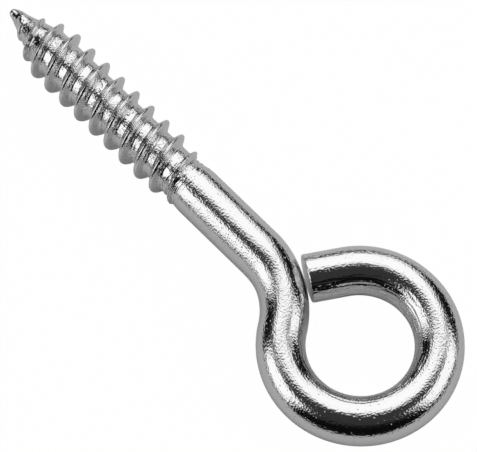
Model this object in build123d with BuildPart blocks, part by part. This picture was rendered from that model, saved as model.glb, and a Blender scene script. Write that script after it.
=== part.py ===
"""Screw eye: a ring of bent steel wire on a shank with a coarse, right-hand wood-screw thread.

The real one is a single length of wire.  One end is rolled between threaded dies, which squeeze
a deep helical ridge up out of the wire and draw the tip down to a gimlet point.  The other end
is bent over a mandrel: a gentle neck one way, then nearly a full turn the other way, until the
sheared end comes round to the back of the neck.  It is therefore one solid.

Frame, in millimetres: the screw eye lies flat, with the centre of the ring at the origin and the
axis of the ring along +Z.  The shank runs along X, with its point towards -X.
"""

import os
from math import acos, ceil, cos, degrees, pi, radians, sin, sqrt, tan

from build123d import *

os.makedirs("parts", exist_ok=True)

# ---------------------------------------------------------------- driving dimensions
# Wire.  Bending stretches it, so it is a little thinner from the neck onwards, and it tapers
# over the last of the shank.
wire_diameter = 6.0
bent_wire_diameter = 5.62
wire_taper_length = 2.5

# Ring and neck, as radii of the wire's centreline, and how far the ring turns
ring_bend_radius = 8.94
neck_bend_radius = 10.0
shank_offset = 0.4
ring_turn = 293.7
closing_gap = 0.15

# Shank, measured from the tip of the point
shank_length = 41.85
thread_length = 27.2
run_out_length = 3.8
shoulder_length = 2.2

# Thread
thread_pitch = 2.5
crest_diameter = 7.3
root_diameter = 5.1
crest_flat = 0.4
flank_angle = 26.0

# Gimlet point
tip_diameter = 1.2
tip_flat_diameter = 0.6
point_length = 6.8
crest_lead_length = 8.4
first_turn_place = 0.62

# The ridge is drawn in strips, each a few steps of the helix long.  Its foot is let into the core,
# and where the thread runs out its crest sinks into the wire by a share of its full height.
strips_per_turn = 4
steps_per_strip = 2
foot_depth = 0.1
sunk_share = -0.1
narrowest_share = 0.25

# ---------------------------------------------------------------- derived sizes
wire_radius = wire_diameter / 2
bent_wire_radius = bent_wire_diameter / 2
tip_radius = tip_diameter / 2
tip_flat_radius = tip_flat_diameter / 2
root_radius = root_diameter / 2
thread_height = (crest_diameter - root_diameter) / 2
thread_end = thread_length + run_out_length
shoulder_start = thread_end - shoulder_length
cone_slope = (root_radius - tip_radius) / (point_length - tip_radius)
shoulder_slope = (wire_radius - root_radius) / shoulder_length

# Plan of the bends.  The neck turns one way and the ring the other, and the two circles touch,
# which sets where the neck begins and how far it turns.
bend_centre_distance = neck_bend_radius + ring_bend_radius
neck_centre_y = -(shank_offset + neck_bend_radius)
neck_centre_x = -sqrt(bend_centre_distance**2 - neck_centre_y**2)
neck_centre = Vector(neck_centre_x, neck_centre_y)
neck_turn = degrees(acos(-neck_centre_y / bend_centre_distance))
point_x = neck_centre_x - shank_length

# The wire's last stretch is straight and stops short of the back of the neck by the closing gap.
end_heading = radians(ring_turn - neck_turn)
end_direction = Vector(cos(end_heading), sin(end_heading))
end_start = Vector(end_direction.Y, -end_direction.X) * ring_bend_radius
end_reach = (neck_centre - end_start).dot(end_direction)
end_length = end_reach - neck_bend_radius - bent_wire_radius - closing_gap


# ---------------------------------------------------------------- thread
def core_radius(place):
    """Radius of the core under the ridge, at a distance from the tip of the point."""
    if place < point_length:
        return tip_radius + cone_slope * (place - tip_radius)
    return root_radius + shoulder_slope * max(0.0, place - shoulder_start)


def ridge_share(place):
    """Height of the ridge as a share of the full one: it grows from the tip and runs out."""
    return max(sunk_share, min(1.0, place / crest_lead_length, (thread_end - place) / run_out_length))


def ridge_point(corner, step):
    """A corner of the ridge's section, which is (side, on_crest), after some steps of the helix."""
    side, on_crest = corner
    turns = step / (strips_per_turn * steps_per_strip)
    angle = 2 * pi * turns
    middle = first_turn_place + thread_pitch * turns
    share = ridge_share(middle)
    offset = crest_flat / 2 * max(share, narrowest_share)
    radius = core_radius(middle) + thread_height * share
    if not on_crest:
        offset += (thread_height * share + foot_depth) * tan(radians(flank_angle))
        radius = core_radius(middle + side * offset) - foot_depth
    x = point_x + middle + side * offset
    return Vector(x, radius * cos(angle) - shank_offset, radius * sin(angle))


def ridge_edge(corner, first_step):
    """One strip's length of an edge of the ridge, which runs smoothly into the next strip's."""
    steps = range(first_step, first_step + steps_per_strip + 1)
    tangents = []
    for step in (steps[0], steps[-1]):
        tangents.append(ridge_point(corner, step + 0.01) - ridge_point(corner, step - 0.01))
    points = [ridge_point(corner, step) for step in steps]
    return Edge.make_spline(points, tangents=tangents, parameters=[float(step) for step in steps])


def thread_ridge():
    """The helical ridge: flank, crest, flank and a foot inside the core, closed at both ends."""
    strips = ceil(strips_per_turn * (thread_end - first_turn_place) / thread_pitch)
    corners = [(-1, False), (-1, True), (1, True), (1, False)]
    faces = []
    for strip in range(strips):
        edges = [ridge_edge(corner, strip * steps_per_strip) for corner in corners]
        for edge, next_edge in zip(edges, edges[1:] + edges[:1]):
            faces.append(Face.make_surface_from_curves(edge, next_edge))
    for step in (0, strips * steps_per_strip):
        section = [ridge_point(corner, step) for corner in corners]
        faces.append(Face(Wire.make_polygon(section, close=True)))
    return Solid(Shell(faces))


# ---------------------------------------------------------------- screw eye
with BuildPart() as screw_eye:
    # Point, core of the thread and plain shank, turned about the shank's own axis
    with BuildSketch() as shank_profile:
        with BuildLine(Location((point_x, -shank_offset))):
            Polyline(
                (0, 0),
                (0, tip_flat_radius),
                (tip_radius, tip_radius),
                (point_length, root_radius),
                (shoulder_start, root_radius),
                (thread_end, wire_radius),
                (shank_length - wire_taper_length, wire_radius),
                (shank_length, bent_wire_radius),
                (shank_length, 0),
                (0, 0),
            )
        make_face()
    revolve(axis=Axis((point_x, -shank_offset, 0), (1, 0, 0)))
    add(thread_ridge())

    # Neck, ring and the straight end, as far as the back of the neck
    with BuildLine() as bent_path:
        neck_arc = JernArc((neck_centre_x, -shank_offset), (1, 0), neck_bend_radius, -neck_turn)
        ring_arc = JernArc(neck_arc @ 1, neck_arc % 1, ring_bend_radius, ring_turn)
        Line(ring_arc @ 1, (ring_arc @ 1) + (ring_arc % 1) * end_length)
    with BuildSketch(Plane(neck_arc @ 0, x_dir=(0, 0, 1), z_dir=neck_arc % 0)):
        Circle(bent_wire_radius)
    sweep(path=bent_path.line)

screw_eye.part.label = "screw_eye"
export_step(screw_eye.part, "parts/screw_eye.step")
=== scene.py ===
from math import acos, atan2, ceil, cos, floor, hypot, pi, radians, sin, sqrt, tan

import bpy
from mathutils import Matrix, Vector, noise


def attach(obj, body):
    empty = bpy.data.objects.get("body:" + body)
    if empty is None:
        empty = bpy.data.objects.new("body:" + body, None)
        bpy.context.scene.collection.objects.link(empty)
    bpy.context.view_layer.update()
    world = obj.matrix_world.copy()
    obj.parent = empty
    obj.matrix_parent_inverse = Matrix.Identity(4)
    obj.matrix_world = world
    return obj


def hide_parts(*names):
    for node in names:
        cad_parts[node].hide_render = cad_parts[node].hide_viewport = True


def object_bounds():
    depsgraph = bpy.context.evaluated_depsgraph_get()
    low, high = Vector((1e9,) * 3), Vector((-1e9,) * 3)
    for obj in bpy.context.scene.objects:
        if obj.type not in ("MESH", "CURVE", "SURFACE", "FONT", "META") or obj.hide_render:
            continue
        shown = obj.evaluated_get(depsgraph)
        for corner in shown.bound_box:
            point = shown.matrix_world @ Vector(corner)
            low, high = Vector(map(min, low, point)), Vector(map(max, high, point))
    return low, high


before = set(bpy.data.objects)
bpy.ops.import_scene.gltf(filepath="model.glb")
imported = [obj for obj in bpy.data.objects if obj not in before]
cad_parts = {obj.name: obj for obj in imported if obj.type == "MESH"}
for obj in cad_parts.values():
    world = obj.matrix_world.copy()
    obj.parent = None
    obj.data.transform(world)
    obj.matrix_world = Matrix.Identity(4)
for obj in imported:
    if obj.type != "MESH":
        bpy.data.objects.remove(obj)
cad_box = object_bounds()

# ---------------------------------------------------------------- screw eye
# One length of drawn mild-steel wire, 6 mm thick.  Flat dies roll a coarse wood-screw thread and a
# gimlet point on one end, and the other end is bent cold over a mandrel into the neck and the ring.
# The whole thing is then electroplated with bright zinc.
MM = 0.001

wire_radius = 3.0 * MM
bent_wire_radius = 2.81 * MM
thinning_turn = radians(27)

ring_bend_radius = 8.94 * MM
neck_bend_radius = 10.0 * MM
shank_offset = 0.4 * MM
ring_turn = radians(293.7)
closing_gap = 0.27 * MM
rim_radius = 0.2 * MM
cut_slant = radians(3.4)

shank_length = 41.85 * MM
thread_length = 26.6 * MM
run_out_length = 4.4 * MM
shoulder_start = 28.6 * MM
shoulder_end = 31.8 * MM

thread_pitch = 2.5 * MM
crest_radius = 3.65 * MM
root_radius = 2.55 * MM
worn_root_radius = 2.66 * MM
crest_flat = 0.32 * MM
flank_angle = radians(26)

tip_radius = 0.56 * MM
tip_offset = 0.17 * MM
point_length = 6.3 * MM
crest_lead_length = 7.6 * MM
first_turn_place = 0.62 * MM

thread_end = thread_length + run_out_length
thread_height = crest_radius - root_radius
neck_centre_y = -(shank_offset + neck_bend_radius)
neck_centre_x = -sqrt((neck_bend_radius + ring_bend_radius) ** 2 - neck_centre_y**2)
neck_turn = acos(-neck_centre_y / (neck_bend_radius + ring_bend_radius))
point_x = neck_centre_x - shank_length

SECTION_POINTS = 96


def new_mesh_object(name, points, edges):
    """An object that holds a plain chain of points and edges, selected and active."""
    mesh = bpy.data.meshes.new(name)
    mesh.from_pydata(points, edges, [])
    made = bpy.data.objects.new(name, mesh)
    bpy.context.scene.collection.objects.link(made)
    bpy.ops.object.select_all(action="DESELECT")
    made.select_set(True)
    bpy.context.view_layer.objects.active = made
    return made


def smooth_step(share):
    """0 to 1 with level ends, for a share of a way."""
    share = max(0.0, min(1.0, share))
    return share * share * (3 - 2 * share)


# Thread: the outline of one pitch, along the shank, from the middle of one valley to the next.
# Fillets soften the foot of each flank and the edges of the crest.
foot_fillet = 0.16 * MM
crest_fillet = 0.14 * MM
VALLEY_STEPS = 7


def ridge_height(offset):
    """Height of the ridge's outline above the core, at a distance from the ridge's middle."""
    foot = crest_flat / 2 + thread_height * tan(flank_angle)
    reach = abs(offset)
    straight = (foot - reach) / tan(flank_angle)
    height = max(0.0, min(thread_height, straight))
    from_foot = reach - foot
    from_crest = reach - crest_flat / 2
    if abs(from_foot) < foot_fillet:
        height = (foot_fillet - from_foot) ** 2 / (4 * foot_fillet) / tan(flank_angle)
    if abs(from_crest) < crest_fillet:
        height = thread_height - (crest_fillet + from_crest) ** 2 / (4 * crest_fillet) / tan(flank_angle)
    return height


def thread_outline():
    """Offsets from the ridge's middle, packed where the outline curves."""
    foot = crest_flat / 2 + thread_height * tan(flank_angle)
    side = [0.0]
    side += [crest_flat / 2 + crest_fillet * share for share in (-1, -0.5, 0, 0.5, 1)]
    between = foot - foot_fillet - crest_flat / 2 - crest_fillet
    side += [crest_flat / 2 + crest_fillet + between * share for share in (0.25, 0.5, 0.75)]
    side += [foot + foot_fillet * share for share in (-1, -0.5, 0, 0.5, 1)]
    valley = thread_pitch / 2 - foot - foot_fillet
    side += [foot + foot_fillet + valley * step / VALLEY_STEPS for step in range(1, VALLEY_STEPS + 1)]
    return [-offset for offset in reversed(side[1:])] + side


outline = thread_outline()
turns = ceil(thread_end / thread_pitch) + 4
thread = new_mesh_object(
    "screw_eye_wire",
    [(offset, root_radius + ridge_height(offset), 0) for offset in outline],
    [(k, k + 1) for k in range(len(outline) - 1)],
)
screw = thread.modifiers.new("screw", "SCREW")
screw.axis = "X"
screw.angle = 2 * pi
screw.screw_offset = thread_pitch
screw.iterations = turns
screw.steps = SECTION_POINTS
screw.render_steps = SECTION_POINTS
screw.use_merge_vertices = True
screw.merge_threshold = 1e-7
bpy.ops.object.modifier_apply(modifier="screw")


def core_radius(place):
    """Radius of the core under the ridge, at a distance from the tip of the point."""
    if place < point_length:
        way = max(0.0, place - tip_radius) / (point_length - tip_radius)
        return tip_radius + (root_radius - tip_radius) * way
    worn = min(1.0, (place - point_length) / thread_length)
    root = root_radius + (worn_root_radius - root_radius) * worn
    way = (place - shoulder_start) / (shoulder_end - shoulder_start)
    return root + (wire_radius - root) * smooth_step(way)


def ridge_share(place):
    """Height of the ridge as a share of the full one: it grows from the tip and runs out."""
    return max(0.0, min(1.0, place / crest_lead_length, (thread_end - place) / run_out_length))


# The plain screw becomes the real thread.  Every point keeps its place on the helix, and its
# distance from the ridge's middle and from the axis follow the point, the core and the run-out.
# The dies are a little out of line with each other, so the thread runs ahead on one side of the
# shank, and its turns lie closer together at the point, whose tip is rounded and off centre.
# The place where its dome starts is one that no point of the screw falls just beside, so the pole
# closes cleanly.
first_turn = -2
least_foot_share = 0.6
foot_reach = crest_flat / 2 + thread_height * tan(flank_angle)
dome_start = -0.81 * MM
lean = 0.24 * MM
tilt = 0.08 * MM
phase = 0.05 * MM
catch_up = 0.55 * MM
catch_up_length = 1.5 * MM
lean_end = 29.0 * MM
line_depth = 0.08 * MM
lines_per_pitch = 6
lines_start = 27.8 * MM
lines_end = 31.0 * MM
lines_fade = 1.0 * MM
crest_wave = 0.03 * MM
places = []
for vertex in thread.data.vertices:
    x, y, z = vertex.co
    part_turn = atan2(z, y) / (2 * pi) % 1.0
    angle = 2 * pi * part_turn
    turn = floor(x / thread_pitch - part_turn + 0.5 + 1e-5)
    offset = x - (turn + part_turn) * thread_pitch
    height = hypot(y, z) - root_radius
    middle = first_turn_place + (turn + part_turn + first_turn) * thread_pitch
    share = ridge_share(middle)
    foot_share = max(share, least_foot_share) if middle < crest_lead_length else share
    reach = crest_flat / 2 + thread_height * foot_share * tan(flank_angle)
    if abs(offset) < foot_reach:
        near = abs(offset) / foot_reach * reach
    else:
        valley_share = (abs(offset) - foot_reach) / (thread_pitch / 2 - foot_reach)
        near = reach + valley_share * (thread_pitch / 2 - reach)
    place = middle + (near if offset > 0 else -near)
    started = smooth_step(place / catch_up_length)
    leaning = started * (1 - smooth_step((place - lean_end) / (shoulder_end - lean_end)))
    place += catch_up * started * (1 - smooth_step((place - catch_up_length) / point_length))
    place += leaning * (phase + lean * (1 - cos(angle)) - tilt * height / thread_height * cos(angle))
    core = core_radius(place)
    full_height = min(thread_height, crest_radius - core)
    wave = crest_wave * noise.noise(Vector((x, y, z)) / MM) * height / thread_height
    radius = min(crest_radius, core + (height / thread_height * full_height + wave) * share)
    if lines_start < place < lines_end:
        ripple = sin(2 * pi * lines_per_pitch * offset / thread_pitch)
        rough = 0.5 + noise.noise(Vector((place, radius * cos(angle), radius * sin(angle))) / MM)
        fade_in = smooth_step((place - lines_start) / lines_fade)
        fade_out = smooth_step((lines_end - place) / lines_fade)
        radius += line_depth * (fade_in * fade_out) * rough * ripple
    if place < tip_radius:
        dome = pi / 2 * max(0.0, (place - dome_start) / (tip_radius - dome_start))
        radius = tip_radius * sin(dome) + height * share
        place = tip_radius * (1 - cos(dome))
    if place > shoulder_end:
        place = shoulder_end
        radius = wire_radius
    off_centre = tip_offset * (1 - smooth_step(place / point_length))
    section_y = radius * cos(angle)
    section_z = radius * sin(angle)
    vertex.co = (point_x + place, section_y + off_centre - shank_offset, section_z)
    places.append((place / MM, section_y / MM, section_z / MM))

# Every point of the wire keeps its place on the straight wire, in millimetres: the distance along
# it, and the two distances from its centre.  Marks of rolling and drawing follow it round the bends.
wire_place = thread.data.attributes.new("wire_place", "FLOAT_VECTOR", "POINT")
for vertex, value in zip(thread.data.vertices, places):
    wire_place.data[vertex.index].vector = value

# Plain shank, neck, ring and straight end, drawn out from one round section
bpy.ops.object.select_all(action="DESELECT")
bpy.ops.mesh.primitive_circle_add(
    vertices=SECTION_POINTS,
    radius=wire_radius,
    location=(point_x + shoulder_end, -shank_offset, 0),
    rotation=(0, pi / 2, 0),
)
bent = bpy.context.object
bpy.ops.object.transform_apply(location=True, rotation=True, scale=True)
bpy.ops.object.mode_set(mode="EDIT")
bpy.ops.mesh.select_all(action="SELECT")
SHANK_STEPS = 16
plain_length = shank_length - shoulder_end
for step in range(SHANK_STEPS):
    bpy.ops.mesh.extrude_region_move(TRANSFORM_OT_translate={"value": (plain_length / SHANK_STEPS, 0, 0)})
neck_centre = Vector((neck_centre_x, neck_centre_y, 0))
NECK_STEPS = 28
RING_STEPS = 150
radius = wire_radius
for step in range(1, NECK_STEPS + 1):
    bpy.ops.mesh.spin(steps=1, angle=neck_turn / NECK_STEPS, center=neck_centre, axis=(0, 0, 1))
    turned = neck_turn * step / NECK_STEPS
    thinner = wire_radius + (bent_wire_radius - wire_radius) * smooth_step(turned / thinning_turn)
    section_centre = neck_centre + Vector((sin(turned), cos(turned), 0)) * neck_bend_radius
    bpy.ops.transform.resize(value=[thinner / radius] * 3, center_override=section_centre)
    radius = thinner
bpy.ops.mesh.spin(steps=RING_STEPS, angle=ring_turn, center=(0, 0, 0), axis=(0, 0, -1))
end_heading = ring_turn - neck_turn
end_direction = Vector((cos(end_heading), sin(end_heading), 0))
end_start = Vector((end_direction.y, -end_direction.x, 0)) * ring_bend_radius
cut_direction = Vector((cos(end_heading + cut_slant), sin(end_heading + cut_slant), 0))
end_reach = (neck_centre - end_start).dot(cut_direction)
end_length = (end_reach - neck_bend_radius - bent_wire_radius - closing_gap) / cos(cut_slant)
bpy.ops.mesh.extrude_region_move(TRANSFORM_OT_translate={"value": end_direction * (end_length - rim_radius)})
end_centre = end_start + end_direction * end_length
RIM_STEPS = 4
rim_turn = 0.0
for step in range(1, RIM_STEPS + 1):
    next_turn = pi / 2 * step / RIM_STEPS
    forward = end_direction * rim_radius * (sin(next_turn) - sin(rim_turn))
    was = bent_wire_radius - rim_radius * (1 - cos(rim_turn))
    now = bent_wire_radius - rim_radius * (1 - cos(next_turn))
    section_centre = end_centre - end_direction * rim_radius * (1 - sin(next_turn))
    bpy.ops.mesh.extrude_region_move(TRANSFORM_OT_translate={"value": forward})
    bpy.ops.transform.resize(value=[now / was] * 3, center_override=section_centre)
    rim_turn = next_turn

# The cut face, with two rings of points inside its rim
bpy.ops.mesh.edge_face_add()
bpy.ops.mesh.inset(thickness=0.3 * MM, depth=0)
bpy.ops.mesh.inset(thickness=1.2 * MM, depth=0)
bpy.ops.object.mode_set(mode="OBJECT")

# Each step above appends one ring of points, so a point's number gives its ring
rings = [(shoulder_end + plain_length * step / SHANK_STEPS, 0.0) for step in range(SHANK_STEPS + 1)]
for step in range(1, NECK_STEPS + 1):
    turned = neck_turn * step / NECK_STEPS
    rings.append((shank_length + neck_bend_radius * turned, -turned))
for step in range(1, RING_STEPS + 1):
    turned = ring_turn * step / RING_STEPS
    ring_place = shank_length + neck_bend_radius * neck_turn + ring_bend_radius * turned
    rings.append((ring_place, turned - neck_turn))
rings.append((rings[-1][0] + end_length - rim_radius, end_heading))
rings.append((rings[-1][0] + rim_radius, end_heading))
wire_place = bent.data.attributes.new("wire_place", "FLOAT_VECTOR", "POINT")
for index, (along, heading) in enumerate(rings):
    ring = bent.data.vertices[index * SECTION_POINTS : (index + 1) * SECTION_POINTS]
    if index == len(rings) - 1:
        ring = bent.data.vertices[index * SECTION_POINTS :]
    centre = sum((vertex.co for vertex in ring[:SECTION_POINTS]), Vector()) / SECTION_POINTS
    for vertex in ring:
        from_centre = vertex.co - centre
        across = from_centre.dot(Vector((-sin(heading), cos(heading), 0)))
        if index >= len(rings) - 2:
            vertex.co -= end_direction * across * tan(cut_slant)
        wire_place.data[vertex.index].vector = (along / MM, across / MM, from_centre.z / MM)

bpy.ops.object.select_all(action="DESELECT")
bent.select_set(True)
thread.select_set(True)
bpy.context.view_layer.objects.active = thread
bpy.ops.object.join()
wire = thread
bpy.ops.object.mode_set(mode="EDIT")
bpy.ops.mesh.select_all(action="SELECT")
bpy.ops.mesh.remove_doubles(threshold=0.0002 * MM)
bpy.ops.mesh.normals_make_consistent(inside=False)
bpy.ops.object.mode_set(mode="OBJECT")
bpy.ops.object.shade_smooth_by_angle(angle=radians(40))


def srgb(text):
    """A hex sRGB colour as linear RGBA."""
    channels = [int(text[k : k + 2], 16) / 255 for k in (1, 3, 5)]
    return [c / 12.92 if c <= 0.04045 else ((c + 0.055) / 1.055) ** 2.4 for c in channels] + [1.0]


def add_node(tree, kind, inputs=(), **settings):
    """Adds a node.  inputs pairs each socket with a value, an output, or a node whose first output
    feeds it."""
    node = tree.nodes.new(kind)
    for name, value in settings.items():
        setattr(node, name, value)
    for socket, value in dict(inputs).items():
        if isinstance(value, bpy.types.Node):
            value = value.outputs[0]
        if isinstance(value, bpy.types.NodeSocket):
            tree.links.new(value, node.inputs[socket])
        else:
            node.inputs[socket].default_value = value
    return node


# Bright electroplated zinc: a neutral white metal, glossy enough to mirror the room, over steel that
# keeps the grain of the drawn wire.  The plate's fine peel breaks the edges of the reflections, and
# small pits show as bright specks in the dark and dark specks in the bright.  Heights are in mm.
zinc = bpy.data.materials.new("bright_zinc_plate")
zinc.use_nodes = True
tree = zinc.node_tree
shader = tree.nodes["Principled BSDF"]
shader.inputs["Base Color"].default_value = srgb("#DCDCDC")
shader.inputs["Metallic"].default_value = 1.0
shader.inputs["Roughness"].default_value = 0.12
place = add_node(tree, "ShaderNodeAttribute", attribute_name="wire_place").outputs["Vector"]
parts = add_node(tree, "ShaderNodeSeparateXYZ", {0: place}).outputs
section = add_node(tree, "ShaderNodeMapping", {"Vector": place, "Scale": (0, 1, 1)})
from_axis = add_node(tree, "ShaderNodeVectorMath", {0: section}, operation="LENGTH").outputs["Value"]

# Peel of the plate.  The real grain is under a tenth of a millimetre, too fine to show, so it is
# drawn about twice as coarse.
grain = add_node(tree, "ShaderNodeMapping", {"Vector": place, "Scale": (0.8, 1, 1)})
peel = add_node(tree, "ShaderNodeTexNoise", {"Vector": grain, "Scale": 1 / 0.17, "Detail": 0})
height = add_node(tree, "ShaderNodeMath", {0: peel, 1: 0.024}, operation="MULTIPLY")
swell = add_node(tree, "ShaderNodeTexNoise", {"Vector": place, "Scale": 1 / 1.3, "Detail": 1})
height = add_node(tree, "ShaderNodeMath", {0: swell, 1: 0.004, 2: height}, operation="MULTIPLY_ADD")

# Marks of the drawing die, long along the wire and fine across it.  The mandrel rubs them deeper
# on the inside of the ring.
stretched = add_node(tree, "ShaderNodeMapping", {"Vector": place, "Scale": (0.12, 1, 1)})
drawn = add_node(tree, "ShaderNodeTexNoise", {"Vector": stretched, "Scale": 1 / 0.3, "Detail": 0})
inner = add_node(
    tree,
    "ShaderNodeMapRange",
    {"Value": parts["Y"], "From Min": 0.6, "From Max": 2.4, "To Max": 0.1},
    interpolation_type="SMOOTHSTEP",
)
in_ring = add_node(
    tree,
    "ShaderNodeMapRange",
    {"Value": parts["X"], "From Min": 50, "From Max": 54},
    interpolation_type="SMOOTHSTEP",
)
depth = add_node(tree, "ShaderNodeMath", {0: inner, 1: in_ring, 2: 0.012}, operation="MULTIPLY_ADD")
height = add_node(tree, "ShaderNodeMath", {0: drawn, 1: depth, 2: height}, operation="MULTIPLY_ADD")

# Lines that the dies roll round the wire, deepest where the thread runs out
round_wire = add_node(tree, "ShaderNodeMapping", {"Vector": place, "Scale": (1, 0.15, 0.15)})
rolled = add_node(tree, "ShaderNodeTexNoise", {"Vector": round_wire, "Scale": 1 / 0.28, "Detail": 0})
in_thread = add_node(
    tree,
    "ShaderNodeMapRange",
    {"Value": parts["X"], "From Min": 30.5, "From Max": 31.6, "To Min": 1, "To Max": 0},
    interpolation_type="SMOOTHSTEP",
)
depth = add_node(
    tree,
    "ShaderNodeMapRange",
    {"Value": parts["X"], "From Min": 27.6, "From Max": 28.6, "To Min": 0.02, "To Max": 0.12},
    interpolation_type="SMOOTHSTEP",
)
depth = add_node(tree, "ShaderNodeMath", {0: depth, 1: in_thread}, operation="MULTIPLY")
height = add_node(tree, "ShaderNodeMath", {0: rolled, 1: depth, 2: height}, operation="MULTIPLY_ADD")

# Scuffed patches in the valleys of the thread, where the plate lies over laps of rolled steel
scabs = add_node(tree, "ShaderNodeTexNoise", {"Vector": place, "Scale": 1 / 0.42, "Detail": 1})
scab = add_node(
    tree,
    "ShaderNodeMapRange",
    {"Value": scabs, "From Min": 0.47, "From Max": 0.53, "To Max": 0.05},
    interpolation_type="SMOOTHSTEP",
)
patches = add_node(tree, "ShaderNodeTexNoise", {"Vector": place, "Scale": 1 / 2.2, "Detail": 0})
patch = add_node(
    tree,
    "ShaderNodeMapRange",
    {"Value": patches, "From Min": 0.48, "From Max": 0.56},
    interpolation_type="SMOOTHSTEP",
)
in_valley = add_node(
    tree,
    "ShaderNodeMapRange",
    {"Value": from_axis, "From Min": 2.66, "From Max": 2.85, "To Min": 1, "To Max": 0},
    interpolation_type="SMOOTHSTEP",
)
share = add_node(tree, "ShaderNodeMath", {0: patch, 1: in_valley}, operation="MULTIPLY")
share = add_node(tree, "ShaderNodeMath", {0: share, 1: in_thread}, operation="MULTIPLY")
height = add_node(tree, "ShaderNodeMath", {0: scab, 1: share, 2: height}, operation="MULTIPLY_ADD")

# Pits in the plate, half a millimetre apart
cells = add_node(tree, "ShaderNodeTexVoronoi", {"Vector": place, "Scale": 1 / 0.5})
pitted = add_node(tree, "ShaderNodeMath", {0: cells.outputs["Color"], 1: 0.5}, operation="GREATER_THAN")
pit = add_node(
    tree,
    "ShaderNodeMapRange",
    {"Value": cells, "From Min": 0.02, "From Max": 0.2, "To Min": -0.024, "To Max": 0},
    interpolation_type="SMOOTHSTEP",
)
height = add_node(tree, "ShaderNodeMath", {0: pit, 1: pitted, 2: height}, operation="MULTIPLY_ADD")
bump = add_node(tree, "ShaderNodeBump", {"Height": height, "Strength": 1, "Distance": MM})
tree.links.new(bump.outputs["Normal"], shader.inputs["Normal"])
wire.data.materials.append(zinc)

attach(wire, "root")
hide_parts("screw_eye")

# ---------------------------------------------------------------- floor
# A plain white tabletop.  It is lit like the wire, and looks whiter to the camera than it is.
bpy.ops.object.select_all(action="DESELECT")
bpy.ops.mesh.primitive_plane_add(size=3.0, location=(0, 0, cad_box[0][2]))
tabletop = bpy.context.object
tabletop.name = "floor"
white = bpy.data.materials.new("white_tabletop")
white.use_nodes = True
tree = white.node_tree
tree.nodes.remove(tree.nodes["Principled BSDF"])
cloth = add_node(tree, "ShaderNodeBsdfDiffuse", {"Color": srgb("#F4F4F4")})
glow = add_node(tree, "ShaderNodeEmission", {"Color": srgb("#FFFFFF"), "Strength": 1})
path = add_node(tree, "ShaderNodeLightPath").outputs
mirrored = add_node(tree, "ShaderNodeMath", {0: path["Is Glossy Ray"], 1: 0.05}, operation="MULTIPLY")
seen = {0: path["Is Camera Ray"], 1: 0.99, 2: mirrored}
seen = add_node(tree, "ShaderNodeMath", seen, operation="MULTIPLY_ADD")
mix = add_node(tree, "ShaderNodeMixShader", {0: seen, 1: cloth, 2: glow})
tree.links.new(mix.outputs[0], tree.nodes["Material Output"].inputs["Surface"])
tabletop.data.materials.append(white)

# ---------------------------------------------------------------- lights
# Three softboxes stand round the table, at the back and at both sides of where the camera looks
# from, and a white ceiling throws a little of their light back into an otherwise dark room.
camera_heading = radians(47.25)
box_distance = 0.6


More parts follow.
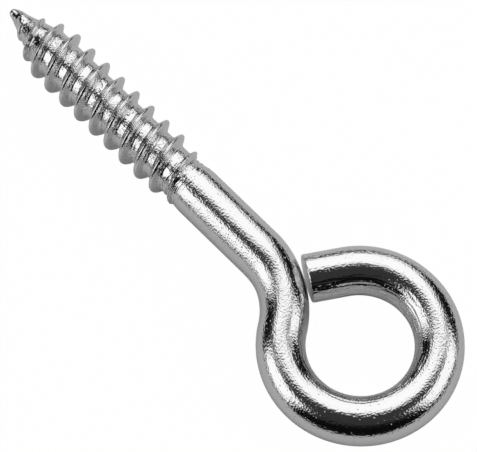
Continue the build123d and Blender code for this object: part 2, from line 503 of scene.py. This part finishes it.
def softbox(name, turn, height, roll, width, length, radiance):
    """A softbox whose cloth is bright in the middle and fades towards its edges.

    turn is from the view's right towards its back, height above the floor and roll about its own
    axis, in degrees.  width and length are shares of its distance.
    """
    heading = camera_heading + radians(turn)
    rise = radians(height)
    away = Vector((cos(heading) * cos(rise), sin(heading) * cos(rise), sin(rise)))
    light = bpy.data.lights.new(name, "AREA")
    light.shape = "RECTANGLE"
    light.size = width * box_distance
    light.size_y = length * box_distance
    light.energy = radiance * pi * light.size * light.size_y
    light.use_nodes = True
    tree = light.node_tree
    across = add_node(tree, "ShaderNodeNewGeometry").outputs["Parametric"]
    centred = add_node(tree, "ShaderNodeVectorMath", {0: across, 1: (0.5, 0.5, 0)}, operation="SUBTRACT")
    reach = add_node(tree, "ShaderNodeVectorMath", {0: centred}, operation="ABSOLUTE")
    parts = add_node(tree, "ShaderNodeSeparateXYZ", {0: reach}).outputs
    fades = []
    for side in ("X", "Y"):
        limits = {"Value": parts[side], "From Min": 0.25, "From Max": 0.5, "To Min": 1, "To Max": 0}
        fades.append(add_node(tree, "ShaderNodeMapRange", limits, interpolation_type="SMOOTHSTEP"))
    fade = add_node(tree, "ShaderNodeMath", {0: fades[0], 1: fades[1]}, operation="MULTIPLY")
    tree.links.new(fade.outputs[0], tree.nodes["Emission"].inputs["Strength"])
    lamp = bpy.data.objects.new(name, light)
    lamp.matrix_world = (
        Matrix.Translation(away * box_distance)
        @ away.to_track_quat("Z", "Y").to_matrix().to_4x4()
        @ Matrix.Rotation(radians(roll), 4, "Z")
    )
    lamp.visible_camera = False
    bpy.context.scene.collection.objects.link(lamp)


softbox("back_softbox", 90, 46, 0, 1.55, 1.57, 1.3)
softbox("right_softbox", -5, 34.5, -11, 1.14, 1.11, 1.3)
softbox("left_softbox", 188, 30, 0, 0.97, 1.14, 1.35)
softbox("ceiling", 90, 82, 0, 3.0, 3.0, 0.035)

world = bpy.data.worlds.new("dark_room")
bpy.context.scene.world = world
world.use_nodes = True
tree = world.node_tree
dark = tree.nodes["Background"]
dark.inputs["Color"].default_value = srgb("#FFFFFF")
dark.inputs["Strength"].default_value = 0.004
pale = add_node(tree, "ShaderNodeBackground", {"Color": srgb("#FFFFFF"), "Strength": 1})
seen = add_node(tree, "ShaderNodeLightPath").outputs["Is Camera Ray"]
mix = add_node(tree, "ShaderNodeMixShader", {0: seen, 1: dark, 2: pale})
tree.links.new(mix.outputs[0], tree.nodes["World Output"].inputs["Surface"])

# ---------------------------------------------------------------- camera
# A long lens looks steeply down on the screw eye, with its point at the top left.
camera_data = bpy.data.cameras.new("camera")
camera_data.sensor_width = 36
camera_data.lens = 256.6
camera_data.clip_start = 0.01
camera = bpy.data.objects.new("camera", camera_data)
view_tilt = radians(20.75)
view_roll = radians(-1.3)
aim = Vector((-19.83, 0.14, 0)) * MM
turned = (
    Matrix.Rotation(camera_heading, 4, "Z")
    @ Matrix.Rotation(view_tilt, 4, "X")
    @ Matrix.Rotation(view_roll, 4, "Z")
)
camera.matrix_world = Matrix.Translation(aim + turned.to_3x3() @ Vector((0, 0, 387.2 * MM))) @ turned
bpy.context.scene.collection.objects.link(camera)
bpy.context.scene.camera = camera

bpy.context.scene.view_settings.view_transform = "Standard"
